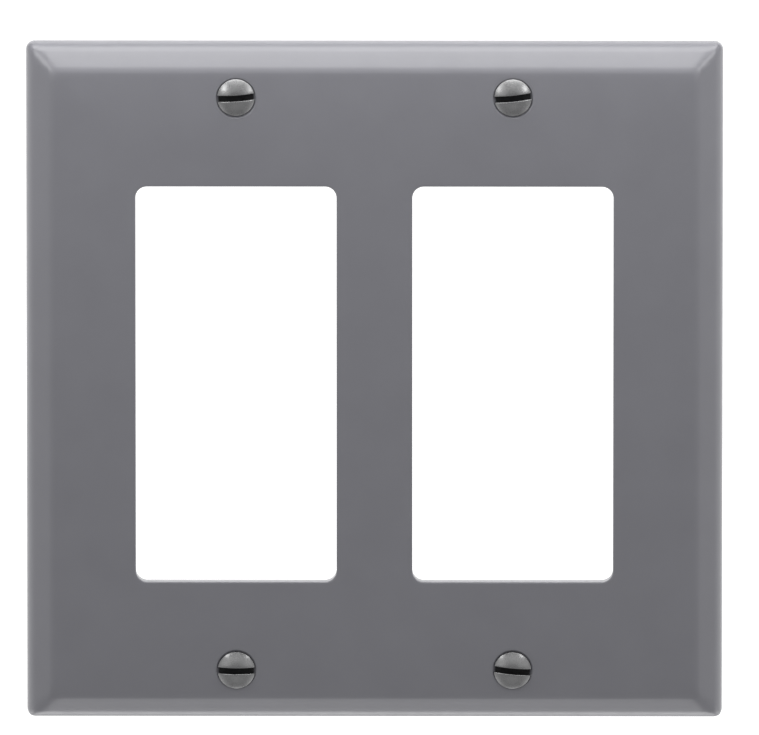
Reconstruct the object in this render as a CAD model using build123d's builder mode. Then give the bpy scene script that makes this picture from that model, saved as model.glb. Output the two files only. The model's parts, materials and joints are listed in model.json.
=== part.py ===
"""Two-gang wall plate for rocker (decorator) switches, with its four oval-head screws.

Frame: +Z up, +X to the right as seen from the room, +Y into the wall. The wall plane is
Y = 0, and the origin is at the centre of the plate on that plane. The face looks along -Y.
"Stand" is the height of a point in front of the wall plane, so stand = -Y.
"""

from build123d import *
import math
import os

# ---------------------------------------------------------------- driving dimensions (mm)
# Plate, to the usual standard two-gang size
PLATE_WIDTH = 115.9  # 4 9/16 in
PLATE_HEIGHT = 114.3  # 4 1/2 in
PLATE_DEPTH = 5.6  # wall plane to the flat middle of the face
CORNER_RADIUS = 1.5  # plan radius of the four outer corners
SHOULDER = 2.0  # height of the straight outer side before the bevel starts
SIDE_DRAFT = 0.1  # how far that side leans in over its height
CROWN_RUN = 12.5  # width of the gently curved band between the bevel and the flat middle
CROWN_RISE = 0.55  # how much that band rises
BEVEL_ANGLE = 36  # degrees from the wall plane
BEVEL_BLEND = 3.0  # radius between the bevel and the crowned band
EDGE_BLEND = 3.5  # radius between the outer side and the bevel

# Hollow back
SKIN = 2.2  # thickness of the face
RIM_WALL = 2.1  # thickness of the outer rim at the wall plane
INNER_SHOULDER = 1.0  # height of the straight inner side of the rim
INNER_BEVEL_BLEND = 1.2  # radii of the same two bends inside the plate
INNER_EDGE_BLEND = 0.3
BACK_RECESS = 1.4  # collars, bosses and ribs stop this far short of the wall plane

# Device openings
GANG_PITCH = 46.02  # 1 13/16 in between the two openings
OPENING_WIDTH = 33.4  # 1.315 in
OPENING_HEIGHT = 66.8  # 2.63 in
OPENING_CORNER = 1.9
OPENING_EDGE = 0.25  # rounding of the front edge of each opening
COLLAR_STEP = 1.0  # bare skin left round the opening, inside the collar
COLLAR_WALL = 1.4

# Screw holes
SCREW_PITCH = 96.82  # 3 13/16 in between the upper and lower screws
HOLE_RADIUS = 1.95
BOSS_RADIUS = 4.9
HEAD_CLEARANCE = 0.2  # radial gap between a screw head and its countersink

# Stiffening ribs on the back
RIB_WIDTH = 1.2
SIDE_RIB_PITCH = 22.0
SIDE_RIB_COUNT = 3
BAR_RIB_PITCH = 16.5
BAR_RIB_COUNT = 5
PAD_RADIUS = 2.2  # round ejector pads on the side ribs
PAD_DIMPLE_RADIUS = 1.6
PAD_DIMPLE_DEPTH = 0.15

# Screws: No. 6-32 x 1/2 in, slotted, oval countersunk head
HEAD_RADIUS = 3.1
HEAD_STAND = 5.45  # stand of the rim of the head
HEAD_BAND = 0.15  # narrow straight band under the rim
DOME_HEIGHT = 1.05
CONE_HALF_ANGLE = 41.0  # 82 degree countersink
NECK_RADIUS = 1.5
NECK_END_STAND = 1.2  # behind this the shank is threaded
THREAD_RADIUS = 1.75
SCREW_LENGTH = 12.7  # from the rim of the head to the tip
TIP_CHAMFER = 0.5
SLOT_WIDTH = 1.0
SLOT_DEPTH = 1.5  # from the top of the dome

# Name of each screw, its side (x, z) and how far its slot is turned from level,
# in degrees, positive with the right-hand end of the slot higher
SCREWS = {
    "screw_top_left": (-1, 1, 3.7),
    "screw_top_right": (1, 1, 5.9),
    "screw_bottom_left": (-1, -1, -0.3),
    "screw_bottom_right": (1, -1, -5.2),
}

# ---------------------------------------------------------------- derived values
WALL = Plane.XZ  # local x is +X, local y is +Z and the normal points into the room
SECTION_ACROSS = Plane.XY  # section seen from above, to be swept along Z
SECTION_UPRIGHT = Plane(origin=(0, 0, 0), x_dir=(0, 0, 1), z_dir=(-1, 0, 0))
CROWN_ANGLE = 2 * math.degrees(math.atan2(CROWN_RISE, CROWN_RUN))
CAVITY_DEPTH = PLATE_DEPTH - SKIN
COLLAR_OUTSET = COLLAR_STEP + COLLAR_WALL
EMBED = 0.3  # how far ribs, collars and bosses reach into the skin
CONE_SLOPE = math.tan(math.radians(CONE_HALF_ANGLE))
SCREW_Z = SCREW_PITCH / 2
GANG_X = GANG_PITCH / 2
CAVITY_WIDTH = PLATE_WIDTH - 2 * RIM_WALL
CAVITY_HEIGHT = PLATE_HEIGHT - 2 * RIM_WALL
SIDE_BAR_START = GANG_X + OPENING_WIDTH / 2  # side bar: from the opening out to the rim
SIDE_BAR_WIDTH = CAVITY_WIDTH / 2 - SIDE_BAR_START
SIDE_BAR_PITCH = 2 * SIDE_BAR_START + SIDE_BAR_WIDTH  # between the middles of the side bars
SEAT_RADIUS = HEAD_RADIUS + HEAD_CLEARANCE  # countersink radius level with the head's band
THROAT_STAND = HEAD_STAND - HEAD_BAND - (SEAT_RADIUS - HOLE_RADIUS) / CONE_SLOPE
MOUTH_STAND = PLATE_DEPTH + 1  # the cutting cone runs on in front of the face
MOUTH_RADIUS = HOLE_RADIUS + (MOUTH_STAND - THROAT_STAND) * CONE_SLOPE
BACK_CUT = 1  # and its straight part runs on behind the wall plane


def crowned_section(plane, half_span, depth, shoulder, lean, bevel_blend, edge_blend):
    """Section through a mitred, crowned slab that lies on the wall plane.

    A straight side stands up to the shoulder, the bevel leads to the crowned band, and
    the band runs out level at the given depth.
    """
    bevel_rise = depth - CROWN_RISE - shoulder
    side_x = half_span - lean
    band_x = side_x - bevel_rise / math.tan(math.radians(BEVEL_ANGLE))
    with BuildSketch(plane) as section:
        with BuildLine():
            Polyline(
                (0, 0),
                (half_span, 0),
                (side_x, -shoulder),
                (band_x, -(shoulder + bevel_rise)),
            )
            JernArc(
                start=(band_x - CROWN_RUN, -depth),
                tangent=(1, 0),
                radius=CROWN_RUN / math.sin(math.radians(CROWN_ANGLE)),
                arc_size=CROWN_ANGLE,
            )
            Line((band_x - CROWN_RUN, -depth), (0, -depth))
            mirror(about=Plane.YZ)
        make_face()
        bends = section.vertices().group_by(Axis.Y)
        fillet(bends[2], edge_blend)
        fillet(bends[1], bevel_blend)
    return section.sketch


os.makedirs("parts", exist_ok=True)

# ---------------------------------------------------------------- wall plate
OUTER_BENDS = (SHOULDER, SIDE_DRAFT, BEVEL_BLEND, EDGE_BLEND)
INNER_BENDS = (INNER_SHOULDER, 0, INNER_BEVEL_BLEND, INNER_EDGE_BLEND)
slab_across = crowned_section(SECTION_ACROSS, PLATE_WIDTH / 2, PLATE_DEPTH, *OUTER_BENDS)
slab_upright = crowned_section(SECTION_UPRIGHT, PLATE_HEIGHT / 2, PLATE_DEPTH, *OUTER_BENDS)
hollow_across = crowned_section(SECTION_ACROSS, CAVITY_WIDTH / 2, CAVITY_DEPTH, *INNER_BENDS)
hollow_upright = crowned_section(SECTION_UPRIGHT, CAVITY_HEIGHT / 2, CAVITY_DEPTH, *INNER_BENDS)

# The space behind the face
with BuildPart() as cavity:
    extrude(hollow_across, amount=PLATE_HEIGHT / 2, both=True)
    extrude(hollow_upright, amount=PLATE_WIDTH / 2, both=True, mode=Mode.INTERSECT)

# The space that one countersunk hole takes, on the Y axis
with BuildPart() as seat:
    with BuildSketch(Plane.XY):
        Polygon(
            (0, BACK_CUT),
            (HOLE_RADIUS, BACK_CUT),
            (HOLE_RADIUS, -THROAT_STAND),
            (MOUTH_RADIUS, -MOUTH_STAND),
            (0, -MOUTH_STAND),
            align=None,
        )
    revolve(axis=Axis.Y)

with BuildPart() as wall_plate:
    # Slab: the same section run both ways, so that the bevels and the crown meet in mitres
    extrude(slab_across, amount=PLATE_HEIGHT / 2, both=True)
    extrude(slab_upright, amount=PLATE_WIDTH / 2, both=True, mode=Mode.INTERSECT)
    with BuildSketch(WALL):
        RectangleRounded(PLATE_WIDTH, PLATE_HEIGHT, CORNER_RADIUS)
    extrude(amount=PLATE_DEPTH, mode=Mode.INTERSECT)

    # Hollow back
    add(cavity.part, mode=Mode.SUBTRACT)

    # Collars, bosses and ribs stand on the back of the skin
    with BuildSketch(WALL.offset(BACK_RECESS)):
        with GridLocations(GANG_PITCH, 0, 2, 1):
            RectangleRounded(
                OPENING_WIDTH + 2 * COLLAR_OUTSET,
                OPENING_HEIGHT + 2 * COLLAR_OUTSET,
                OPENING_CORNER + COLLAR_OUTSET,
            )
        with GridLocations(GANG_PITCH, SCREW_PITCH, 2, 2):
            Circle(BOSS_RADIUS)
        # Upright ribs: through the bosses, and one down the middle bar
        with GridLocations(GANG_X, 0, 3, 1):
            Rectangle(RIB_WIDTH, CAVITY_HEIGHT)
        # Level ribs: through the bosses, across the side bars and across the middle bar
        with GridLocations(0, SCREW_PITCH, 1, 2):
            Rectangle(CAVITY_WIDTH, RIB_WIDTH)
        with GridLocations(SIDE_BAR_PITCH, SIDE_RIB_PITCH, 2, SIDE_RIB_COUNT):
            Rectangle(SIDE_BAR_WIDTH, RIB_WIDTH)
            Circle(PAD_RADIUS)
        with GridLocations(0, BAR_RIB_PITCH, 1, BAR_RIB_COUNT):
            Rectangle(GANG_PITCH - OPENING_WIDTH, RIB_WIDTH)
        # Inside the collars only the skin is left
        with GridLocations(GANG_PITCH, 0, 2, 1):
            RectangleRounded(
                OPENING_WIDTH + 2 * COLLAR_STEP,
                OPENING_HEIGHT + 2 * COLLAR_STEP,
                OPENING_CORNER + COLLAR_STEP,
                mode=Mode.SUBTRACT,
            )
    extrude(amount=CAVITY_DEPTH + EMBED - BACK_RECESS)

    # Dimples that the ejector pins leave in the pads
    with BuildSketch(WALL.offset(BACK_RECESS)):
        with GridLocations(SIDE_BAR_PITCH, SIDE_RIB_PITCH, 2, SIDE_RIB_COUNT):
            Circle(PAD_DIMPLE_RADIUS)
    extrude(amount=PAD_DIMPLE_DEPTH, mode=Mode.SUBTRACT)

    # Openings for the two devices
    with BuildSketch(WALL):
        with GridLocations(GANG_PITCH, 0, 2, 1):
            RectangleRounded(OPENING_WIDTH, OPENING_HEIGHT, OPENING_CORNER)
    extrude(amount=PLATE_DEPTH, mode=Mode.SUBTRACT)

    # Countersunk holes
    with Locations(*[(x * GANG_X, 0, z * SCREW_Z) for x, z, _ in SCREWS.values()]):
        add(seat.part, mode=Mode.SUBTRACT)

    # Soft front edge round each opening
    face = wall_plate.faces().sort_by(Axis.Y)[0]
    fillet([edge for wire in face.inner_wires() for edge in wire.edges()], OPENING_EDGE)

wall_plate.part.label = "wall_plate"
export_step(wall_plate.part, "parts/wall_plate.step")


# ---------------------------------------------------------------- screws
def screw_profile():
    """Half section of a screw on the Y axis: tip, thread, neck, cone, band and dome."""
    tip = SCREW_LENGTH - HEAD_STAND
    cone_start = HEAD_STAND - HEAD_BAND - (HEAD_RADIUS - NECK_RADIUS) / CONE_SLOPE
    dome_radius = (HEAD_RADIUS**2 + DOME_HEIGHT**2) / (2 * DOME_HEIGHT)
    dome_angle = math.degrees(math.asin(HEAD_RADIUS / dome_radius))
    with BuildLine() as outline:
        Polyline(
            (0, -(HEAD_STAND + DOME_HEIGHT)),
            (0, tip),
            (THREAD_RADIUS - TIP_CHAMFER, tip),
            (THREAD_RADIUS, tip - TIP_CHAMFER),
            (THREAD_RADIUS, -NECK_END_STAND),
            (NECK_RADIUS, -NECK_END_STAND),
            (NECK_RADIUS, -cone_start),
            (HEAD_RADIUS, -(HEAD_STAND - HEAD_BAND)),
            (HEAD_RADIUS, -HEAD_STAND),
        )
        JernArc(
            start=(0, -(HEAD_STAND + DOME_HEIGHT)),
            tangent=(1, 0),
            radius=dome_radius,
            arc_size=dome_angle,
        )
    make_face(outline.edges())


for screw_name, (side_x, side_z, slot_turn) in SCREWS.items():
    centre = Vector(side_x * GANG_X, 0, side_z * SCREW_Z)
    slot_floor = centre - Vector(0, HEAD_STAND + DOME_HEIGHT - SLOT_DEPTH, 0)
    slot_along = Vector(1, 0, 0).rotate(Axis.Y, -slot_turn)
    with BuildPart() as screw:
        with BuildSketch(Plane(centre)):
            screw_profile()
        revolve(axis=Axis(centre, (0, 1, 0)))
        # Screwdriver slot, straight across the dome
        with BuildSketch(Plane(slot_floor, x_dir=slot_along, z_dir=(0, -1, 0))):
            Rectangle(3 * HEAD_RADIUS, SLOT_WIDTH)
        extrude(amount=SLOT_DEPTH, mode=Mode.SUBTRACT)
    screw.part.label = screw_name
    export_step(screw.part, f"parts/{screw_name}.step")
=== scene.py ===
"""Looks for a two-gang wall plate and its four slotted screws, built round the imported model.

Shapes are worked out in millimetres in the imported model's frame: X to the right, Z up and
"stand", the height in front of the wall plane, along -Y. Meshes are scaled to metres last.
"""

import json
import math

import bmesh
import bpy
import numpy as np
from mathutils import Matrix, Vector, geometry


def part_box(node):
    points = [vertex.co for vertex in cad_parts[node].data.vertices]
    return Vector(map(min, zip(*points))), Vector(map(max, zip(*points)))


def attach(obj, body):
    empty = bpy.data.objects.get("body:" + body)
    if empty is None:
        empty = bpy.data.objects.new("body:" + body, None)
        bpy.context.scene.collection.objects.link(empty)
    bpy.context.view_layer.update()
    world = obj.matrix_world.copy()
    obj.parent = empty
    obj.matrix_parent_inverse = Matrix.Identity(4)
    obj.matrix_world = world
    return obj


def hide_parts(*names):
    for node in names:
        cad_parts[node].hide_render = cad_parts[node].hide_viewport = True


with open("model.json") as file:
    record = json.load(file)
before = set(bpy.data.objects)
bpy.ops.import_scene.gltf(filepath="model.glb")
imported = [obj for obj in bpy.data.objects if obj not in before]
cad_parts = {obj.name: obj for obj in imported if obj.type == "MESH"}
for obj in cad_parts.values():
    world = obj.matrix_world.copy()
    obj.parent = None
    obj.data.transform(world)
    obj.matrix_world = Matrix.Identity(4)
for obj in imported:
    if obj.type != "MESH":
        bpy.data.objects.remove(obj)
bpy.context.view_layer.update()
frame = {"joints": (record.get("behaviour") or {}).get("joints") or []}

# ------------------------------------------------------------------ sizes, from the frame
MM = 0.001
plate_low, plate_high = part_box("wall_plate")
WIDTH = (plate_high.x - plate_low.x) / MM
HEIGHT = (plate_high.z - plate_low.z) / MM
DEPTH = -plate_low.y / MM
SCREWS = ("screw_top_left", "screw_top_right", "screw_bottom_left", "screw_bottom_right")
SCREW_CENTRES = {
    joint["child"]: Vector(joint["pos_m"]) / MM for joint in frame["joints"]
}
GANG_X = abs(SCREW_CENTRES[SCREWS[0]].x)
SCREW_Z = abs(SCREW_CENTRES[SCREWS[0]].z)

# ------------------------------------------------------------------ plate sizes (mm)
CORNER_RADIUS = 1.5  # of the outline, in plan
SHOULDER = 2.0  # stand at which the side meets the bevel
SIDE_DRAFT = 0.1  # how far the side leans in
CROWN_RUN = 12.5  # how far past the bevel the face still rises
CROWN_RISE = 0.55
BEVEL_ANGLE = 36  # degrees from the wall plane
BEVEL_BLEND = 3.0  # radius between the bevel and the crown
EDGE_BLEND = 3.5  # radius between the side and the bevel
SKIN = 2.2  # thickness behind the face
RIM_WALL = 2.1  # thickness of the rim that stands on the wall
INNER_SHOULDER = 1.0  # the same measures for the hollow's inside
INNER_BEVEL_BLEND = 1.2
INNER_EDGE_BLEND = 0.3
BACK_RECESS = 1.4  # stand of the collars, bosses, ribs and pads
OPENING_HALF_WIDTH = 16.7
OPENING_HALF_HEIGHT = 33.4
OPENING_CORNER = 1.9
OPENING_EDGE = 0.25  # radius of its front edge
COLLAR_STEP = 1.0  # from the opening out to the collar's inner side
COLLAR_OUTSET = 2.4  # and out to its outer side
HOLE_RADIUS = 1.95
BOSS_RADIUS = 4.9
HEAD_ANGLE = 82  # degrees, across the whole cone
CONE_SLOPE = math.tan(math.radians(HEAD_ANGLE / 2))
HEAD_CLEARANCE = 0.2  # between a head and its countersink, in radius
MOUTH_ROUND = 0.10  # how far the countersink's edge is rounded each way
RIB_WIDTH = 1.2
SIDE_RIB_PITCH = 22.0
BAR_RIB_PITCH = 16.5
PAD_RADIUS = 2.2
PAD_DIMPLE_RADIUS = 1.6
PAD_DIMPLE_DEPTH = 0.15
RIB_OVERLAP = 0.5  # how far a rib's end reaches into a collar's step
BOSS_OVERLAP = 3.5  # from a screw's centre to the end of a rib that meets its boss
CREASE_SOFTNESS = 1.8  # how far the mitre creases are rounded
CREASE_SHARE = 0.8  # and at most this share of the way in from the edge

# ------------------------------------------------------------------ screw sizes (mm)
HEAD_RADIUS = 3.1
HEAD_STAND = 5.45  # stand of the dome's rim
HEAD_BAND = 0.15  # height of the straight band below it
DOME_HEIGHT = 1.05
NECK_RADIUS = 1.5
# stands at which the countersink ends in its hole, and the head's cone in the neck
THROAT_STAND = HEAD_STAND - HEAD_BAND - (HEAD_RADIUS + HEAD_CLEARANCE - HOLE_RADIUS) / CONE_SLOPE
CONE_TIP = HEAD_STAND - HEAD_BAND - (HEAD_RADIUS - NECK_RADIUS) / CONE_SLOPE
THREAD_RADIUS = 1.75
THREAD_ROOT = 1.33
THREAD_PITCH = 0.794
THREAD_START = 1.2  # stand where the thread begins
THREAD_TOP = THREAD_START + 0.3  # no part of it stands higher
THREAD_FADE = 0.6  # over which it grows to its full height
SCREW_LENGTH = 12.7
TIP_STAND = HEAD_STAND - SCREW_LENGTH
TIP_CHAMFER_RADIUS = 1.2  # where the tip's 45 degree chamfer starts
TIP_RADII = (1.15, 0.6)  # rings of the tip's flat end
TIP_GAP = 0.02  # the thread's rings stay this far above the end
CONE_RINGS = (4.6, 4.1, CONE_TIP + 0.15)  # stands of the rings on the cone
NECK_RINGS = (CONE_TIP - 0.1, THREAD_START + 0.35)
# one turn of the thread, as (share of the pitch, share of its height)
THREAD_SECTION = ((0.0, 0.0), (0.12, 0.0), (0.44, 1.0), (0.56, 1.0), (0.88, 0.0))
SLOT_HALF = 0.5  # half its width
SLOT_FLOOR = 5.0  # stand of its floor
LIP_ROUND = 0.12  # radius of its rounded edges
SLOT_TURN = {  # degrees, anticlockwise from the front
    "screw_top_left": 3.7,
    "screw_top_right": 5.9,
    "screw_bottom_left": -0.3,
    "screw_bottom_right": -5.2,
}

# ------------------------------------------------------------------ how finely shapes are cut
WELD_DISTANCE = 2e-7  # metres; vertices closer than this are joined
SLIVER_LENGTH = 1e-7  # metres; edges shorter than this are dissolved
SHOULDER_POINTS = 12
TOP_POINTS = 11
CROWN_POINTS = 14
OPENING_MARGIN = 2.0  # plain grid starts this far outside an opening
CORNER_ZONE = OPENING_MARGIN + OPENING_CORNER
SCREW_MARGIN = 4.0  # half the side of the square patch round a screw hole
CORNER_CELLS = 7
SCREW_CELLS = 16
CLOSEST_LINES = 0.05  # least gap between the plain grid and the edge section's lines
OPENING_EDGE_POINTS = 6
CURVED_POINTS = 40  # round a circle on the back
PAD_POINTS = 32
CORNER_POINTS = 7  # round each corner of a collar
COLUMNS = 28  # cells along a slot, and round each half of a head
FLOOR_CELLS = 4  # cells across a slot's floor
LIP_STEPS = 4
DOME_SHARES = (0.15, 0.3, 0.45, 0.6, 0.72, 0.82, 0.88, 0.92, 0.96, 1.0)  # from lip to rim
PLATE_SHARP_ANGLE = 35  # degrees
SCREW_SHARP_ANGLE = 38  # degrees


# ------------------------------------------------------------------ mesh helpers
class Builder:
    """Collects vertices in (x, z, stand) and faces, then makes one closed mesh object."""

    def __init__(self):
        self.points = []
        self.faces = []

    def point(self, x, z, stand):
        self.points.append((x, -stand, z))
        return len(self.points) - 1

    def strip(self, first, second, closed=False):
        """Quads between two rows of equally many vertices."""
        count = len(first)
        for n in range(count if closed else count - 1):
            m = (n + 1) % count
            self.faces.append((first[n], first[m], second[m], second[n]))

    def make(self, name, sharp_angle):
        mesh = bpy.data.meshes.new(name)
        bm = bmesh.new()
        corners = [bm.verts.new(Vector(p) * MM) for p in self.points]
        for face in self.faces:
            ring = list(dict.fromkeys(face))
            if len(ring) > 2:
                bm.faces.new([corners[n] for n in ring])
        bmesh.ops.remove_doubles(bm, verts=bm.verts[:], dist=WELD_DISTANCE)
        bmesh.ops.dissolve_degenerate(bm, edges=bm.edges[:], dist=SLIVER_LENGTH)
        loose = [v for v in bm.verts if not v.link_faces]
        bmesh.ops.delete(bm, geom=loose, context="VERTS")
        bmesh.ops.recalc_face_normals(bm, faces=bm.faces[:])
        if bm.calc_volume(signed=True) < 0:
            bmesh.ops.reverse_faces(bm, faces=bm.faces[:])
        bm.to_mesh(mesh)
        open_edges = sum(1 for e in bm.edges if len(e.link_faces) != 2)
        print(f"MESH {name}: {len(bm.faces)} faces, {open_edges} edges not closed")
        bm.free()
        mesh.shade_smooth()
        mesh.set_sharp_from_angle(angle=math.radians(sharp_angle))
        obj = bpy.data.objects.new(name, mesh)
        bpy.context.scene.collection.objects.link(obj)
        return obj


def polar(cx, cz, radius, angle):
    """Point at an angle in radians round a centre."""
    return cx + radius * math.cos(angle), cz + radius * math.sin(angle)


def arc_points(centre, radius, start, end, count):
    """Points along an arc, angles in degrees, both ends included."""
    angles = np.radians(np.linspace(start, end, count))
    return [polar(*centre, radius, a) for a in angles]


def fillet_points(at, angle_in, angle_out, radius, count):
    """Arc that joins two straight lines at a corner, given the lines' directions in degrees."""
    turn = math.radians(angle_in - angle_out)
    run = radius * math.tan(turn / 2)
    a_in = math.radians(angle_in)
    start = (at[0] - run * math.cos(a_in), at[1] - run * math.sin(a_in))
    centre = (start[0] + radius * math.sin(a_in), start[1] - radius * math.cos(a_in))
    return arc_points(centre, radius, angle_in + 90, angle_out + 90, count)


# ------------------------------------------------------------------ the plate's edge section
def edge_section(depth, shoulder, draft, edge_blend, bevel_blend):
    """Stations of the edge section as (distance in from the outer edge, stand).

    Straight side, rounded shoulder, bevel, rounded top and crowned band.
    """
    crown_radius = (CROWN_RUN**2 + CROWN_RISE**2) / (2 * CROWN_RISE)
    bevel_rise = depth - CROWN_RISE - shoulder
    band = draft + bevel_rise / math.tan(math.radians(BEVEL_ANGLE))
    crown_angle = math.degrees(math.asin(CROWN_RUN / crown_radius))
    side_angle = math.degrees(math.atan2(shoulder, draft))
    corner = (draft, shoulder)
    top = (band, shoulder + bevel_rise)
    foot = [(0.0, 0.0)]
    shoulder_arc = fillet_points(corner, side_angle, BEVEL_ANGLE, edge_blend, SHOULDER_POINTS)
    top_arc = fillet_points(top, BEVEL_ANGLE, crown_angle, bevel_blend, TOP_POINTS)
    bevel_low, bevel_high = np.array(shoulder_arc[-1]), np.array(top_arc[0])
    bevel_mid = [tuple(bevel_low * (1 - t) + bevel_high * t) for t in (1 / 3, 2 / 3)]
    crown_centre = (band + CROWN_RUN, depth - crown_radius)
    first = math.degrees(math.asin((band + CROWN_RUN - top_arc[-1][0]) / crown_radius))
    crown = arc_points(crown_centre, crown_radius, 90 + first, 90, CROWN_POINTS)
    return foot + shoulder_arc + bevel_mid + top_arc + crown[1:]


class Section:
    """Edge section as functions of a coordinate that runs along it from the wall plane."""

    def __init__(self, stations):
        self.distance = np.array([p[0] for p in stations])
        self.stand = np.array([p[1] for p in stations])
        steps = np.hypot(np.diff(self.distance), np.diff(self.stand))
        self.along = np.concatenate([[0], np.cumsum(steps)])

    def along_at(self, distance):
        """Coordinate of the point that lies this far in from the edge, in plan."""
        past = max(0.0, distance - self.distance[-1])
        return float(np.interp(distance, self.distance, self.along)) + past

    def stand_at(self, along):
        return float(np.interp(along, self.along, self.stand))


def soft_min(a, b):
    """The smaller of a and b, rounded where they are nearly equal, and exact at the outer edge."""
    softness = min(CREASE_SOFTNESS, CREASE_SHARE * min(a, b))
    if softness <= 1e-9:
        return min(a, b)
    near = max(softness - abs(a - b), 0.0) / softness
    return min(a, b) - near * near * softness / 4


outer = Section(edge_section(DEPTH, SHOULDER, SIDE_DRAFT, EDGE_BLEND, BEVEL_BLEND))


def face_stand(x, z):
    """Stand of the front, its bevel and side included, at a point of the square outline."""
    from_side = outer.along_at(WIDTH / 2 - abs(x))
    from_end = outer.along_at(HEIGHT / 2 - abs(z))
    return outer.stand_at(soft_min(from_side, from_end))


# ------------------------------------------------------------------ plate front
def spaced(start, end, step):
    """Evenly spaced values from start to end, without the last one."""
    count = max(1, round(abs(end - start) / step))
    return list(np.linspace(start, end, count + 1)[:-1])


def half_lines(half_span, breaks, last):
    """Grid lines from the middle out to the edge.

    breaks is [(value, step from there on)]. Past last, the lines follow the edge section.
    """
    lines = []
    ends = [value for value, _ in breaks[1:]] + [last]
    for (start, step), end in zip(breaks, ends):
        lines += spaced(start, end, step)
    lines.append(last)
    rim = [half_span - d for d in outer.distance[::-1] if half_span - d > last + CLOSEST_LINES]
    return lines + rim


def mirrored(lines):
    """The same lines on both sides of zero."""
    return [-v for v in lines[:0:-1]] + list(lines)


def grid_lines():
    """Lines across and up the front, closest round the openings' corners, the screws and the rim."""
    corner_step = CORNER_ZONE / CORNER_CELLS
    screw_step = 2 * SCREW_MARGIN / SCREW_CELLS
    open_in = GANG_X - OPENING_HALF_WIDTH - OPENING_MARGIN
    open_out = GANG_X + OPENING_HALF_WIDTH + OPENING_MARGIN
    open_top = OPENING_HALF_HEIGHT + OPENING_MARGIN
    x_half = half_lines(WIDTH / 2, [
        (0.0, 1.1),
        (open_in, corner_step),
        (open_in + CORNER_ZONE, 1.2),
        (GANG_X - SCREW_MARGIN, screw_step),
        (GANG_X + SCREW_MARGIN, 1.2),
        (open_out - CORNER_ZONE, corner_step),
    ], open_out)
    z_half = half_lines(HEIGHT / 2, [
        (0.0, 1.3),
        (open_top - CORNER_ZONE, corner_step),
        (open_top, 1.1),
        (SCREW_Z - SCREW_MARGIN, screw_step),
    ], SCREW_Z + SCREW_MARGIN)
    return mirrored(x_half), mirrored(z_half)


def rounded_corner(x, z):
    """Where a point of the square outline goes when its outer corners are round in plan."""
    corner_x, corner_z = WIDTH / 2 - CORNER_RADIUS, HEIGHT / 2 - CORNER_RADIUS
    u, v = (abs(x) - corner_x) / CORNER_RADIUS, (abs(z) - corner_z) / CORNER_RADIUS
    if u <= 0 or v <= 0:
        return x, z
    return (math.copysign(corner_x + CORNER_RADIUS * u * math.sqrt(1 - v * v / 2), x),
            math.copysign(corner_z + CORNER_RADIUS * v * math.sqrt(1 - u * u / 2), z))


def build_front(plate):
    """Front of the plate with its openings and countersinks. Returns the loops it ends in."""
    x_lines, z_lines = grid_lines()
    known = {}

    def at(i, j):
        if (i, j) not in known:
            x, z = x_lines[i], z_lines[j]
            known[i, j] = plate.point(*rounded_corner(x, z), face_stand(x, z))
        return known[i, j]

    def nearest(lines, value):
        return int(np.argmin(np.abs(np.array(lines) - value)))

    def block(cx, cz, half_w, half_h):
        return (nearest(x_lines, cx - half_w), nearest(x_lines, cx + half_w),
                nearest(z_lines, cz - half_h), nearest(z_lines, cz + half_h))

    blocks = []
    for side in (-1, 1):
        blocks.append(("opening", side * GANG_X, 0.0,
                       OPENING_HALF_WIDTH + OPENING_MARGIN, OPENING_HALF_HEIGHT + OPENING_MARGIN))
        for end in (-1, 1):
            blocks.append(("screw", side * GANG_X, end * SCREW_Z, SCREW_MARGIN, SCREW_MARGIN))
    taken = [block(*b[1:]) for b in blocks]

    for i in range(len(x_lines) - 1):
        for j in range(len(z_lines) - 1):
            if not any(i0 <= i < i1 and j0 <= j < j1 for i0, i1, j0, j1 in taken):
                plate.faces.append((at(i, j), at(i + 1, j), at(i + 1, j + 1), at(i, j + 1)))

    loops = []
    for (kind, cx, cz, half_w, half_h), (i0, i1, j0, j1) in zip(blocks, taken):
        ring = [(i1, j) for j in range(j0, j1)] + [(i, j1) for i in range(i1, i0, -1)]
        ring += [(i0, j) for j in range(j1, j0, -1)] + [(i, j0) for i in range(i0, i1)]
        edge = [at(i, j) for i, j in ring]
        places = [(x_lines[i] - cx, z_lines[j] - cz) for i, j in ring]
        if kind == "opening":
            rings = opening_rings(plate, cx, places, half_w, half_h)
        else:
            rings = screw_rings(plate, cx, cz, places)
        rings.append(edge)
        for first, second in zip(rings, rings[1:]):
            plate.strip(first, second, closed=True)
        loops.append((kind, rings[0]))

    last_i, last_j = len(x_lines) - 1, len(z_lines) - 1
    rim = [(last_i, j) for j in range(last_j)] + [(i, last_j) for i in range(last_i, 0, -1)]
    rim += [(0, j) for j in range(last_j, 0, -1)] + [(i, 0) for i in range(last_i)]
    loops.append(("rim", [at(i, j) for i, j in rim]))
    return loops


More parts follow.
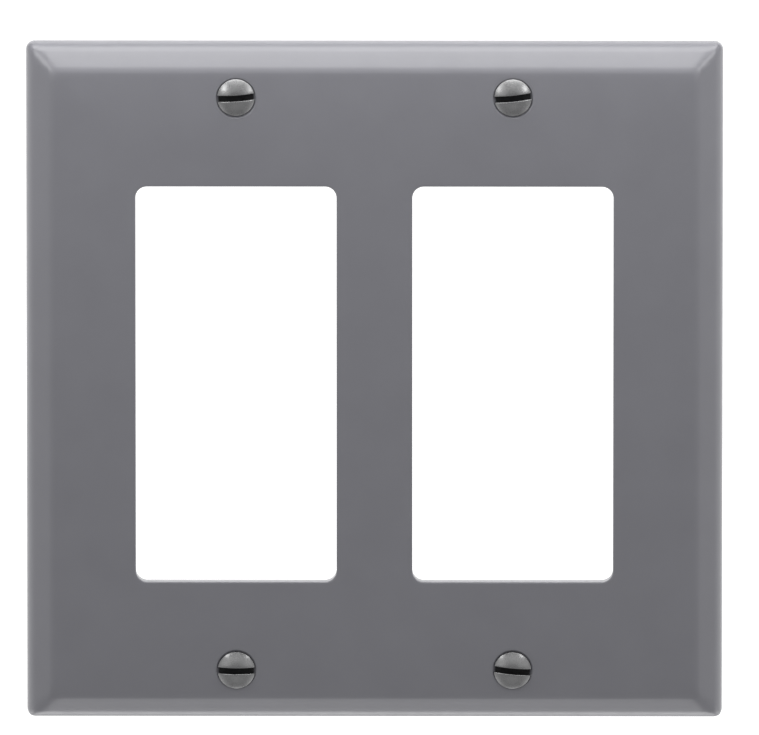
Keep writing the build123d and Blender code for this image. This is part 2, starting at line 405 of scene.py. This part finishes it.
def opening_rings(plate, cx, places, half_w, half_h):
    """Rings from the back edge of an opening, round its soft front edge, out to the grid."""

    def outline(x, z, outset):
        ux, uz = abs(x), abs(z)
        radius = OPENING_CORNER + outset
        inner_x, inner_z = OPENING_HALF_WIDTH - OPENING_CORNER, OPENING_HALF_HEIGHT - OPENING_CORNER
        if half_w - ux < half_h - uz:
            angle = 45 * max(0.0, uz - (half_h - CORNER_ZONE)) / CORNER_ZONE
            px, pz = inner_x + radius * math.cos(math.radians(angle)), min(uz, inner_z)
            pz = pz if angle == 0 else inner_z + radius * math.sin(math.radians(angle))
        else:
            angle = 90 - 45 * max(0.0, ux - (half_w - CORNER_ZONE)) / CORNER_ZONE
            px, pz = min(ux, inner_x), inner_z + radius * math.sin(math.radians(angle))
            px = px if angle == 90 else inner_x + radius * math.cos(math.radians(angle))
        return math.copysign(px, x), math.copysign(pz, z)

    levels = [(0.0, DEPTH - SKIN), (0.0, DEPTH - SKIN * 0.5)]
    levels += [
        (OPENING_EDGE - OPENING_EDGE * math.cos(a), DEPTH - OPENING_EDGE + OPENING_EDGE * math.sin(a))
        for a in np.radians(np.linspace(0, 90, OPENING_EDGE_POINTS))
    ]
    rings = []
    for outset, stand in levels:
        row = [outline(x, z, outset) for x, z in places]
        rings.append([plate.point(cx + x, z, stand) for x, z in row])
    for t in (0.2, 0.5, 0.75):
        row = []
        for x, z in places:
            ox, oz = outline(x, z, OPENING_EDGE)
            px, pz = cx + ox + (x - ox) * t, oz + (z - oz) * t
            row.append(plate.point(px, pz, face_stand(px, pz)))
        rings.append(row)
    return rings


def screw_rings(plate, cx, cz, places):
    """Rings from the back of a screw hole, up its countersink, out to the grid."""
    angles = []
    for x, z in places:
        ux, uz = abs(x), abs(z)
        angle = 45 * uz / ux if uz < ux else 90 - 45 * ux / uz
        angles.append(math.atan2(math.copysign(math.sin(math.radians(angle)), z),
                                 math.copysign(math.cos(math.radians(angle)), x)))

    def cone_stand(radius):
        return THROAT_STAND + (radius - HOLE_RADIUS) / CONE_SLOPE

    def mouth(angle):
        """Radius at which the cone meets the crowned face, closed in on step by step."""
        radius = HEAD_RADIUS
        for _ in range(20):
            stand = face_stand(*polar(cx, cz, radius, angle))
            radius = HOLE_RADIUS + (stand - THROAT_STAND) * CONE_SLOPE
        return radius

    mouths = [mouth(a) for a in angles]
    rings = []
    for stand in (BACK_RECESS, (BACK_RECESS + THROAT_STAND) / 2, THROAT_STAND):
        rings.append([plate.point(*polar(cx, cz, HOLE_RADIUS, a), stand) for a in angles])
    for t in (0.3, 0.6, 0.85):
        row = []
        for a, m in zip(angles, mouths):
            r = HOLE_RADIUS + (m - MOUTH_ROUND - HOLE_RADIUS) * t
            row.append(plate.point(*polar(cx, cz, r, a), cone_stand(r)))
        rings.append(row)
    # the mouth's edge is rounded between the cone and the face
    for t in (0.0, 0.25, 0.5, 0.75, 1.0):
        row = []
        for a, m in zip(angles, mouths):
            low_r, high_r = m - MOUTH_ROUND, m + MOUTH_ROUND
            high = face_stand(*polar(cx, cz, high_r, a))
            r = low_r * (1 - t) ** 2 + m * 2 * t * (1 - t) + high_r * t * t
            s = cone_stand(low_r) * (1 - t) ** 2 + cone_stand(m) * 2 * t * (1 - t) + high * t * t
            row.append(plate.point(*polar(cx, cz, r, a), s))
        rings.append(row)
    for t in (0.33, 0.66):
        row = []
        for (x, z), a, m in zip(places, angles, mouths):
            ox, oz = polar(0, 0, m + MOUTH_ROUND, a)
            px, pz = cx + ox + (x - ox) * t, cz + oz + (z - oz) * t
            row.append(plate.point(px, pz, face_stand(px, pz)))
        rings.append(row)
    return rings


# ------------------------------------------------------------------ plate back
CAVITY_HALF_WIDTH = WIDTH / 2 - RIM_WALL
CAVITY_HALF_HEIGHT = HEIGHT / 2 - RIM_WALL
HOLE_GAP = 0.05  # least distance between a screw hole and a line along which the floor bends
INSIDE_ONLY = 1  # the triangulation's kind: faces inside some outline
OUTLINE_TOLERANCE = 1e-4

inner = Section(edge_section(DEPTH - SKIN, INNER_SHOULDER, 0.0, INNER_EDGE_BLEND, INNER_BEVEL_BLEND))
inner_distance, inner_stand = inner.distance[1:], inner.stand[1:]


def rectangle(cx, cz, half_w, half_h):
    return [(cx + half_w, cz - half_h), (cx + half_w, cz + half_h),
            (cx - half_w, cz + half_h), (cx - half_w, cz - half_h)]


def rounded_rectangle(cx, cz, half_w, half_h, radius):
    outline = []
    for sx, sz, start in ((1, 1, 0), (-1, 1, 90), (-1, -1, 180), (1, -1, 270)):
        centre = (cx + sx * (half_w - radius), cz + sz * (half_h - radius))
        outline += arc_points(centre, radius, start, start + 90, CORNER_POINTS)
    return outline


def circle(cx, cz, radius, count=CURVED_POINTS):
    return arc_points((cx, cz), radius, 0, 360, count + 1)[:-1]


def floor_stand(x, z):
    """Stand of the hollow's floor, which follows the bevel and the crown of the front."""
    side, end = CAVITY_HALF_WIDTH - abs(x), CAVITY_HALF_HEIGHT - abs(z)
    distance = max(min(side, end), inner_distance[0])
    return float(np.interp(distance, inner_distance, inner_stand))


def hollow_outlines():
    """The hollow's own outline and the lines along which its floor bends."""
    outlines = [("cavity", rectangle(0, 0, CAVITY_HALF_WIDTH, CAVITY_HALF_HEIGHT))]
    for d in inner_distance[1:]:
        if abs(CAVITY_HALF_HEIGHT - d - SCREW_Z) > HOLE_RADIUS + HOLE_GAP:
            outlines.append(
                ("station", rectangle(0, 0, CAVITY_HALF_WIDTH - d, CAVITY_HALF_HEIGHT - d)))
    return outlines


def side_outlines(sx):
    """One half's collar, bosses, side ribs and ejector pads."""
    outlines = []
    for outset, kind in ((COLLAR_OUTSET, "raised"), (COLLAR_STEP, "step")):
        outlines.append((kind, rounded_rectangle(
            sx * GANG_X, 0, OPENING_HALF_WIDTH + outset, OPENING_HALF_HEIGHT + outset,
            OPENING_CORNER + outset)))
    for sz in (-1, 1):
        outlines.append(("raised", circle(sx * GANG_X, sz * SCREW_Z, BOSS_RADIUS)))
    start = GANG_X + OPENING_HALF_WIDTH
    middle, half = (start + CAVITY_HALF_WIDTH) / 2, (CAVITY_HALF_WIDTH - start) / 2
    for n in (-1, 0, 1):
        pad = (sx * middle, n * SIDE_RIB_PITCH)
        outlines.append(("raised", rectangle(
            pad[0] + sx * RIB_OVERLAP / 2, pad[1], half - RIB_OVERLAP / 2, RIB_WIDTH / 2)))
        outlines.append(("raised", circle(*pad, PAD_RADIUS, PAD_POINTS)))
        outlines.append(("dimple", circle(*pad, PAD_DIMPLE_RADIUS, PAD_POINTS)))
    return outlines


def rib_outlines():
    """The other ribs, which stop inside the collars and bosses that they run into."""
    boss_in, boss_out = GANG_X - BOSS_OVERLAP, GANG_X + BOSS_OVERLAP
    upright = [(OPENING_HALF_HEIGHT + RIB_OVERLAP, SCREW_Z - BOSS_OVERLAP),
               (SCREW_Z + BOSS_OVERLAP, CAVITY_HALF_HEIGHT)]
    level = [(-boss_in, boss_in), (boss_out, CAVITY_HALF_WIDTH), (-CAVITY_HALF_WIDTH, -boss_out)]
    ribs = [rectangle(0, 0, RIB_WIDTH / 2, CAVITY_HALF_HEIGHT)]
    for sz in (-1, 1):
        for sx in (-1, 1):
            for low, high in upright:
                ribs.append(rectangle(
                    sx * GANG_X, sz * (low + high) / 2, RIB_WIDTH / 2, (high - low) / 2))
        for low, high in level:
            ribs.append(rectangle((low + high) / 2, sz * SCREW_Z, (high - low) / 2, RIB_WIDTH / 2))
    bar_half = GANG_X - OPENING_HALF_WIDTH - RIB_OVERLAP
    for n in range(-2, 3):
        ribs.append(rectangle(0, n * BAR_RIB_PITCH, bar_half, RIB_WIDTH / 2))
    return [("raised", rib) for rib in ribs]


def back_level(kinds):
    """What the back is at a spot, from the kinds of the outlines round it. None is a hole."""
    if kinds & {"opening", "screw"} or "rim" not in kinds:
        return None
    if "cavity" not in kinds:
        return "rim"
    if "dimple" in kinds:
        return "dimple"
    if "raised" in kinds and "step" not in kinds:
        return "raised"
    return "floor"


def back_stand(level, x, z):
    if level == "rim":
        return 0.0
    if level == "raised":
        return min(BACK_RECESS, floor_stand(x, z))
    if level == "dimple":
        return BACK_RECESS + PAD_DIMPLE_DEPTH
    return floor_stand(x, z)


def build_back(plate, loops):
    """Back of the plate: rim, hollow, collars, bosses, ribs and pads, as one layered outline."""
    outlines = [(kind, [(plate.points[n][0], plate.points[n][2]) for n in loop])
                for kind, loop in loops]
    outlines += hollow_outlines() + side_outlines(-1) + side_outlines(1) + rib_outlines()
    points, polygons = [], []
    for _, outline in outlines:
        start = len(points)
        points += [Vector(p) for p in outline]
        polygons.append(list(range(start, len(points))))
    found, _, regions, _, _, owners = geometry.delaunay_2d_cdt(
        points, [], polygons, INSIDE_ONLY, OUTLINE_TOLERANCE, True)

    made = {}

    def corner(n, level):
        if (n, level) not in made:
            x, z = found[n]
            made[n, level] = plate.point(x, z, back_stand(level, x, z))
        return made[n, level]

    beside = {}
    for region, owner in zip(regions, owners):
        level = back_level({outlines[n][0] for n in owner})
        if level is None:
            continue
        plate.faces.append(tuple(corner(n, level) for n in region))
        for a, b in zip(region, list(region[1:]) + [region[0]]):
            beside.setdefault((min(a, b), max(a, b)), set()).add(level)
    # a wall stands wherever two levels meet
    for (a, b), levels in beside.items():
        if len(levels) == 2:
            one, other = sorted(levels)
            plate.faces.append((corner(a, one), corner(b, one), corner(b, other), corner(a, other)))


# ------------------------------------------------------------------ screws
def dome_stand(x, z):
    radius = (HEAD_RADIUS**2 + DOME_HEIGHT**2) / (2 * DOME_HEIGHT)
    return HEAD_STAND + DOME_HEIGHT - radius + math.sqrt(max(radius**2 - x * x - z * z, 0))


def side_radius(stand):
    """Radius of the head's side at a given stand: straight band, then the cone."""
    return min(HEAD_RADIUS, NECK_RADIUS + max(stand - CONE_TIP, 0) * CONE_SLOPE)


def along_slot(radius, z):
    """The x of each column, on a line across a circle of this radius, z from its centre."""
    reach = math.sqrt(radius**2 - z * z)
    return [reach * math.sin(math.pi * (n / COLUMNS - 0.5)) for n in range(COLUMNS + 1)]


def round_half(radius, z):
    """The angle of each column round the part of a circle that lies beyond z."""
    cut = math.asin(z / radius)
    return [math.pi - cut - (math.pi - 2 * cut) * n / COLUMNS for n in range(COLUMNS + 1)]


def lip_section():
    """Steps of the slot's rounded lip, from the dome down, as (half width, drop from the dome)."""
    return [(SLOT_HALF + LIP_ROUND * (1 - math.sin(a)), LIP_ROUND * (1 - math.cos(a)))
            for a in np.radians(np.linspace(0, 90, LIP_STEPS + 1))]


def slot_side(screw, sign, lip):
    """Rows along one side of the slot, from its lip down to its floor."""
    rows = [[screw.point(x, sign * z, dome_stand(x, z) - drop) for x in along_slot(HEAD_RADIUS, z)]
            for z, drop in lip]
    foot = along_slot(side_radius(SLOT_FLOOR), SLOT_HALF)
    rows.append([screw.point(x, sign * SLOT_HALF, SLOT_FLOOR) for x in foot])
    for first, second in zip(rows, rows[1:]):
        screw.strip(first, second)
    return rows


def dome_half(screw, sign, lip_row, lip_z):
    """Half of the dome, from the slot's lip out to the rim. Returns the row at the rim."""
    starts, angles = along_slot(HEAD_RADIUS, lip_z), round_half(HEAD_RADIUS, lip_z)
    previous = lip_row
    for t in DOME_SHARES:
        row = [previous[0]]
        for start, angle in list(zip(starts, angles))[1:-1]:
            x = start * (1 - t) + HEAD_RADIUS * math.cos(angle) * t
            z = lip_z * (1 - t) + HEAD_RADIUS * math.sin(angle) * t
            row.append(screw.point(x, sign * z, dome_stand(x, z)))
        row.append(previous[-1])
        screw.strip(previous, row)
        previous = row
    return previous


def head_side(screw, sign, lip, rows, rim):
    """Half of the head's side, a row for each step of the lip, down to the slot's floor."""
    levels = [(row, z, HEAD_STAND - drop * HEAD_BAND / LIP_ROUND)
              for row, (z, drop) in list(zip(rows, lip))[1:]]
    levels.append((rows[-1], SLOT_HALF, SLOT_FLOOR))
    previous = rim
    for ends, z, stand in levels:
        radius = side_radius(stand)
        row = [ends[0]]
        for angle in round_half(radius, z)[1:-1]:
            row.append(screw.point(radius * math.cos(angle), sign * radius * math.sin(angle), stand))
        row.append(ends[-1])
        screw.strip(previous, row)
        previous = row
    return previous


def slot_floor(screw, upper, lower):
    """The slot's floor, between the lowest rows of its two sides."""
    rows = [upper]
    for k in range(1, FLOOR_CELLS):
        z = SLOT_HALF * (1 - 2 * k / FLOOR_CELLS)
        rows.append([screw.point(x, z, SLOT_FLOOR) for x in along_slot(side_radius(SLOT_FLOOR), z)])
    rows.append(lower)
    for first, second in zip(rows, rows[1:]):
        screw.strip(first, second)
    return rows


def shank_radius(stand, height):
    """Radius of the shank where the thread is this share of its full height.

    The thread fades in below the neck and is chamfered at the tip.
    """
    fade = min(1, max(0, (THREAD_TOP - stand) / THREAD_FADE))
    root = NECK_RADIUS + (THREAD_ROOT - NECK_RADIUS) * fade
    radius = root + (THREAD_RADIUS - root) * height * fade
    return min(radius, TIP_CHAMFER_RADIUS + max(0, stand - TIP_STAND))


def build_shank(screw, ring):
    """Everything below the slot, from the ring at its floor: cone, neck, thread and tip."""
    angles = [math.atan2(screw.points[n][2], screw.points[n][0]) for n in ring]

    def ring_at(radius, stand):
        return [screw.point(*polar(0, 0, radius, a), stand) for a in angles]

    def thread_ring(turns_down, height):
        """Ring that climbs by one pitch as it goes round."""
        row = []
        for a in angles:
            lead = THREAD_PITCH * ((a % (2 * math.pi)) / (2 * math.pi))
            stand = THREAD_START - turns_down * THREAD_PITCH + lead
            stand = min(THREAD_TOP, max(TIP_STAND + TIP_GAP, stand))
            row.append(screw.point(*polar(0, 0, shank_radius(stand, height), a), stand))
        return row

    rings = [ring]
    rings += [ring_at(side_radius(stand), stand) for stand in CONE_RINGS]
    rings += [ring_at(NECK_RADIUS, stand) for stand in NECK_RINGS]
    turns = int((THREAD_START - TIP_STAND) / THREAD_PITCH)
    for turn in range(-1, turns + 2):
        rings += [thread_ring(turn + share, height) for share, height in THREAD_SECTION]
    rings += [ring_at(radius, TIP_STAND) for radius in TIP_RADII]
    for first, second in zip(rings, rings[1:]):
        screw.strip(first, second, closed=True)
    last = rings[-1]
    tip = screw.point(0, 0, TIP_STAND)
    for n in range(len(last)):
        screw.faces.append((last[n], last[(n + 1) % len(last)], tip))


def paint_screw(mesh):
    """Enamel on the head, painted shade in the slot and zinc below the cone."""
    enamel, shade, zinc = range(3)
    near = 0.001
    for material in (screw_finish, painted_slot_shade, shank_finish):
        mesh.materials.append(material)
    for polygon in mesh.polygons:
        _, y, z = polygon.center / MM
        in_slot = abs(z) < SLOT_HALF + near and -y > SLOT_FLOOR - near
        # faces in the slot take the near-black material, which paints the slot's shade into its
        # colour
        polygon.material_index = shade if in_slot else zinc if -y < CONE_TIP else enamel


def build_screw(name):
    """A slotted oval-head screw with a helical thread, turned so that its slot stands right."""
    screw = Builder()
    lip = lip_section()
    sides, rims = {}, {}
    for sign in (1, -1):
        sides[sign] = slot_side(screw, sign, lip)
        rims[sign] = dome_half(screw, sign, sides[sign][0], lip[0][0])
    upper, lower = [head_side(screw, sign, lip, sides[sign], rims[sign]) for sign in (1, -1)]
    floor_rows = slot_floor(screw, sides[1][-1], sides[-1][-1])
    # the ring below the slot: upper arc left to right, then the lower one back
    between = floor_rows[1:-1]
    ring = upper + [row[-1] for row in between] + lower[::-1] + [row[0] for row in between[::-1]]
    build_shank(screw, ring)
    obj = screw.make(name + "_body", SCREW_SHARP_ANGLE)
    paint_screw(obj.data)
    turned = Matrix.Rotation(math.radians(-SLOT_TURN[name]), 4, "Y")
    obj.data.transform(Matrix.Translation(SCREW_CENTRES[name] * MM) @ turned)
    return obj


# ------------------------------------------------------------------ materials
BUMP_STRENGTH = 0.5  # of 1
NOISE_SPAN = (0.3, 0.7)  # most of a noise's values lie in it


def noise(tree, coords, scale, detail, roughness=0.5):
    node = tree.nodes.new("ShaderNodeTexNoise")
    node.inputs["Scale"].default_value = scale
    node.inputs["Detail"].default_value = detail
    node.inputs["Roughness"].default_value = roughness
    tree.links.new(coords, node.inputs["Vector"])
    return node.outputs["Fac"]


def spread(tree, value, low, high):
    """Takes a noise's usual span to the one from low to high."""
    node = tree.nodes.new("ShaderNodeMapRange")
    sockets = ("From Min", "From Max", "To Min", "To Max")
    for socket, number in zip(sockets, (*NOISE_SPAN, low, high)):
        node.inputs[socket].default_value = number
    tree.links.new(value, node.inputs["Value"])
    return node.outputs["Result"]


def blend(tree, value, colours):
    """A colour between the two, from a value between 0 and 1."""
    node = tree.nodes.new("ShaderNodeValToRGB")
    for stop, position, colour in zip(node.color_ramp.elements, (0.0, 1.0), colours):
        stop.position = position
        stop.color = (*colour, 1)
    tree.links.new(value, node.inputs["Fac"])
    return node.outputs["Color"]


def bump(tree, height, distance):
    node = tree.nodes.new("ShaderNodeBump")
    node.inputs["Distance"].default_value = distance
    node.inputs["Strength"].default_value = BUMP_STRENGTH
    tree.links.new(height, node.inputs["Height"])
    return node.outputs["Normal"]


def mottled_material(name, colours, tint, roughness, wear, grain_height, grain):
    """A material whose colour, roughness and surface vary a little. Returns it and its shader.

    tint, wear and grain are the noises that vary the three, as (scale, detail) or as
    (scale, detail, roughness), and grain_height is in metres.
    """
    material = bpy.data.materials.new(name)
    material.use_nodes = True
    tree = material.node_tree
    tree.nodes.clear()
    output = tree.nodes.new("ShaderNodeOutputMaterial")
    shader = tree.nodes.new("ShaderNodeBsdfPrincipled")
    tree.links.new(shader.outputs["BSDF"], output.inputs["Surface"])
    coords = tree.nodes.new("ShaderNodeTexCoord").outputs["Object"]
    colour = blend(tree, spread(tree, noise(tree, coords, *tint), 0.0, 1.0), colours)
    tree.links.new(colour, shader.inputs["Base Color"])
    rough = spread(tree, noise(tree, coords, *wear), *roughness)
    tree.links.new(rough, shader.inputs["Roughness"])
    normal = bump(tree, noise(tree, coords, *grain), grain_height)
    tree.links.new(normal, shader.inputs["Normal"])
    return material, shader


def plate_material():
    """Satin grey plastic with a thin, glossier skin."""
    material, shader = mottled_material(
        "plate_plastic",
        colours=((0.1245, 0.1245, 0.139), (0.131, 0.131, 0.146)), tint=(140, 3),
        roughness=(0.36, 0.44), wear=(420, 4, 0.6),
        grain_height=0.00002, grain=(900, 3))
    shader.inputs["IOR"].default_value = 1.5
    shader.inputs["Coat Weight"].default_value = 0.3
    shader.inputs["Coat Roughness"].default_value = 0.2
    return material


def screw_material():
    """Satin enamel over steel, slightly mottled."""
    material, shader = mottled_material(
        "screw_paint",
        colours=((0.037, 0.037, 0.040), (0.049, 0.049, 0.052)), tint=(900, 3),
        roughness=(0.25, 0.31), wear=(1500, 3),
        grain_height=0.000006, grain=(1800, 2))
    shader.inputs["IOR"].default_value = 2.3
    return material


def painted_slot_shade_material():
    """The slot's walls and floor: a near-black colour, painted shade for the dark that falls in the
    deep slot.
    """
    material, shader = mottled_material(
        "slot_painted_shade",
        colours=((0.004, 0.004, 0.005), (0.012, 0.012, 0.013)), tint=(1400, 3),
        roughness=(0.6, 0.8), wear=(1500, 3),
        grain_height=0.00001, grain=(1800, 2))
    shader.inputs["IOR"].default_value = 1.3
    return material


def shank_material():
    """Dull zinc on the neck and the thread, which the enamel doesn't reach."""
    material, shader = mottled_material(
        "zinc",
        colours=((0.18, 0.184, 0.19), (0.27, 0.276, 0.285)), tint=(700, 4),
        roughness=(0.28, 0.42), wear=(1500, 3),
        grain_height=0.000008, grain=(1800, 2))
    shader.inputs["Metallic"].default_value = 1.0
    return material


# ------------------------------------------------------------------ build the pieces
plate_builder = Builder()
front_loops = build_front(plate_builder)
build_back(plate_builder, front_loops)
plate = plate_builder.make("wall_plate_moulding", PLATE_SHARP_ANGLE)
plate.data.materials.append(plate_material())
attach(plate, "plate")
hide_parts("wall_plate")

screw_finish = screw_material()
# near-black material that paints the shade in the screws' slots
painted_slot_shade = painted_slot_shade_material()
shank_finish = shank_material()
for screw_name in SCREWS:
    piece = build_screw(screw_name)
    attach(piece, screw_name)
    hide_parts(screw_name)


# ------------------------------------------------------------------ camera, lights and stage
def aim(obj, target):
    obj.rotation_euler = (Vector(target) - obj.location).to_track_quat("-Z", "Y").to_euler()


CAMERA_DISTANCE = 5.0  # metres
CAMERA_ELEVATION = math.radians(10.3)
CAMERA_AZIMUTH = math.radians(0.27)
CAMERA_TARGET = Vector((0.00083, -0.003, 0.00245))
PIXELS_PER_MM = 6.01  # scale of the picture at the target
IMAGE_WIDTH = 759  # pixels
SENSOR_WIDTH = 36  # millimetres
CLIP_START = 0.01
CLIP_END = 20

scene = bpy.context.scene
camera_data = bpy.data.cameras.new("camera")
camera = bpy.data.objects.new("camera", camera_data)
scene.collection.objects.link(camera)
back = Vector((
    math.sin(CAMERA_AZIMUTH) * math.cos(CAMERA_ELEVATION),
    -math.cos(CAMERA_AZIMUTH) * math.cos(CAMERA_ELEVATION),
    math.sin(CAMERA_ELEVATION),
))
camera.location = CAMERA_TARGET + back * CAMERA_DISTANCE
aim(camera, CAMERA_TARGET)
camera_data.sensor_width = SENSOR_WIDTH
camera_data.lens = SENSOR_WIDTH * PIXELS_PER_MM * CAMERA_DISTANCE / MM / IMAGE_WIDTH
camera_data.clip_start = CLIP_START
camera_data.clip_end = CLIP_END
scene.camera = camera
scene.view_settings.view_transform = "Standard"


def area_light(name, location, at, size, power):
    """A softbox near the plate, which lights it but is never seen itself."""
    data = bpy.data.lights.new(name, "AREA")
    data.shape = "RECTANGLE"
    data.size, data.size_y = size
    data.energy = power
    light = bpy.data.objects.new(name, data)
    light.location = location
    light.visible_camera = False
    aim(light, at)
    scene.collection.objects.link(light)


area_light("softbox_top", (0, -0.03, 0.20), (0, 0, 0), (0.30, 0.10), 0.53)
area_light("softbox_near", (0, -0.05, 0.13), (0, 0, 0.02), (0.24, 0.05), 0.03)
area_light("softbox_upper_left", (-0.27, -0.22, 0.275), (0, 0, 0.04), (0.10, 0.10), 0.06)
area_light("softbox_upper_right", (0.27, -0.22, 0.275), (0, 0, 0.04), (0.10, 0.10), 0.04)
area_light("softbox_mitre_left", (-0.142, -0.101, 0.116), (-0.052, 0, 0.052), (0.05, 0.05), 0.045)
area_light("softbox_mitre_right", (0.142, -0.101, 0.116), (0.052, 0, 0.052), (0.05, 0.05), 0.042)
area_light("softbox_left", (-0.30, -0.32, 0.16), (0, 0, 0.03), (0.34, 0.34), 0.18)
area_light("softbox_right", (0.30, -0.32, 0.16), (0, 0, 0.03), (0.34, 0.34), 0.18)

# the room's light as broad lobes: (direction, how narrow, strength)
ROOM = (
    ((0, -1, 0), 2, 0.37),
    ((0, 1, 0), 2, 1.7),
    ((-1, 0, 0), 2, 0.93),
    ((1, 0, 0), 2, 1.02),
    ((0, 0.22, -0.975), 24, 4.6),
    ((0, 0.6, 0.8), 12, 1.5),
    ((-0.7, 0.2, -0.7), 12, 2.6),
    ((0.7, 0.2, -0.7), 12, 2.6),
    ((0, -1, -1), 8, 0.62),
    ((0, -0.75, 0.65), 12, 1.25),
    ((-0.66, -0.7, 0.3), 24, 0.42),
    ((0.66, -0.7, 0.3), 24, 0.12),
)
BACKDROP = 1.3  # over-exposed, so that it renders pure white
FLOOR_HALF = 3  # metres
FLOOR_DROP = 0.004  # below the plate's lower edge
WHITE = (1, 1, 1, 1)


def build_world():
    """Plain white where the camera looks, and ROOM's lobes for everything that it lights."""
    world = bpy.data.worlds.new("studio")
    scene.world = world
    world.use_nodes = True
    tree = world.node_tree
    tree.nodes.clear()
    output = tree.nodes.new("ShaderNodeOutputWorld")
    coords = tree.nodes.new("ShaderNodeTexCoord").outputs["Generated"]

    def maths(kind, first, second):
        node = tree.nodes.new("ShaderNodeMath")
        node.operation = kind
        for socket, value in zip(node.inputs, (first, second)):
            if isinstance(value, (int, float)):
                socket.default_value = value
            else:
                tree.links.new(value, socket)
        return node.outputs[0]

    total = None
    for direction, narrow, strength in ROOM:
        facing = tree.nodes.new("ShaderNodeVectorMath")
        facing.operation = "DOT_PRODUCT"
        tree.links.new(coords, facing.inputs[0])
        facing.inputs[1].default_value = Vector(direction).normalized()
        lobe = maths("POWER", maths("MAXIMUM", facing.outputs["Value"], 0.0), narrow)
        lobe = maths("MULTIPLY", lobe, strength)
        total = lobe if total is None else maths("ADD", total, lobe)
    lit = tree.nodes.new("ShaderNodeBackground")
    tree.links.new(total, lit.inputs["Strength"])
    seen = tree.nodes.new("ShaderNodeBackground")
    seen.inputs["Strength"].default_value = BACKDROP
    mix = tree.nodes.new("ShaderNodeMixShader")
    path = tree.nodes.new("ShaderNodeLightPath")
    for background in (lit, seen):
        background.inputs["Color"].default_value = WHITE
    tree.links.new(path.outputs["Is Camera Ray"], mix.inputs["Fac"])
    tree.links.new(lit.outputs["Background"], mix.inputs[1])
    tree.links.new(seen.outputs["Background"], mix.inputs[2])
    tree.links.new(mix.outputs["Shader"], output.inputs["Surface"])


build_world()


def build_floor():
    """A pale floor that only the camera sees, so that the plate's light is the room's."""
    mesh = bpy.data.meshes.new("floor")
    corners = [(FLOOR_HALF * x, FLOOR_HALF * y, 0) for x, y in ((-1, -1), (1, -1), (1, 1), (-1, 1))]
    mesh.from_pydata(corners, [], [(0, 1, 2, 3)])
    floor = bpy.data.objects.new("floor", mesh)
    floor.location.z = plate_low.z - FLOOR_DROP
    scene.collection.objects.link(floor)
    material = bpy.data.materials.new("floor_white")
    material.use_nodes = True
    tree = material.node_tree
    tree.nodes.clear()
    output = tree.nodes.new("ShaderNodeOutputMaterial")
    glow = tree.nodes.new("ShaderNodeEmission")
    glow.inputs["Color"].default_value = WHITE
    glow.inputs["Strength"].default_value = BACKDROP
    tree.links.new(glow.outputs["Emission"], output.inputs["Surface"])
    mesh.materials.append(material)
    floor.visible_diffuse = False
    floor.visible_glossy = False
    floor.visible_shadow = False


build_floor()
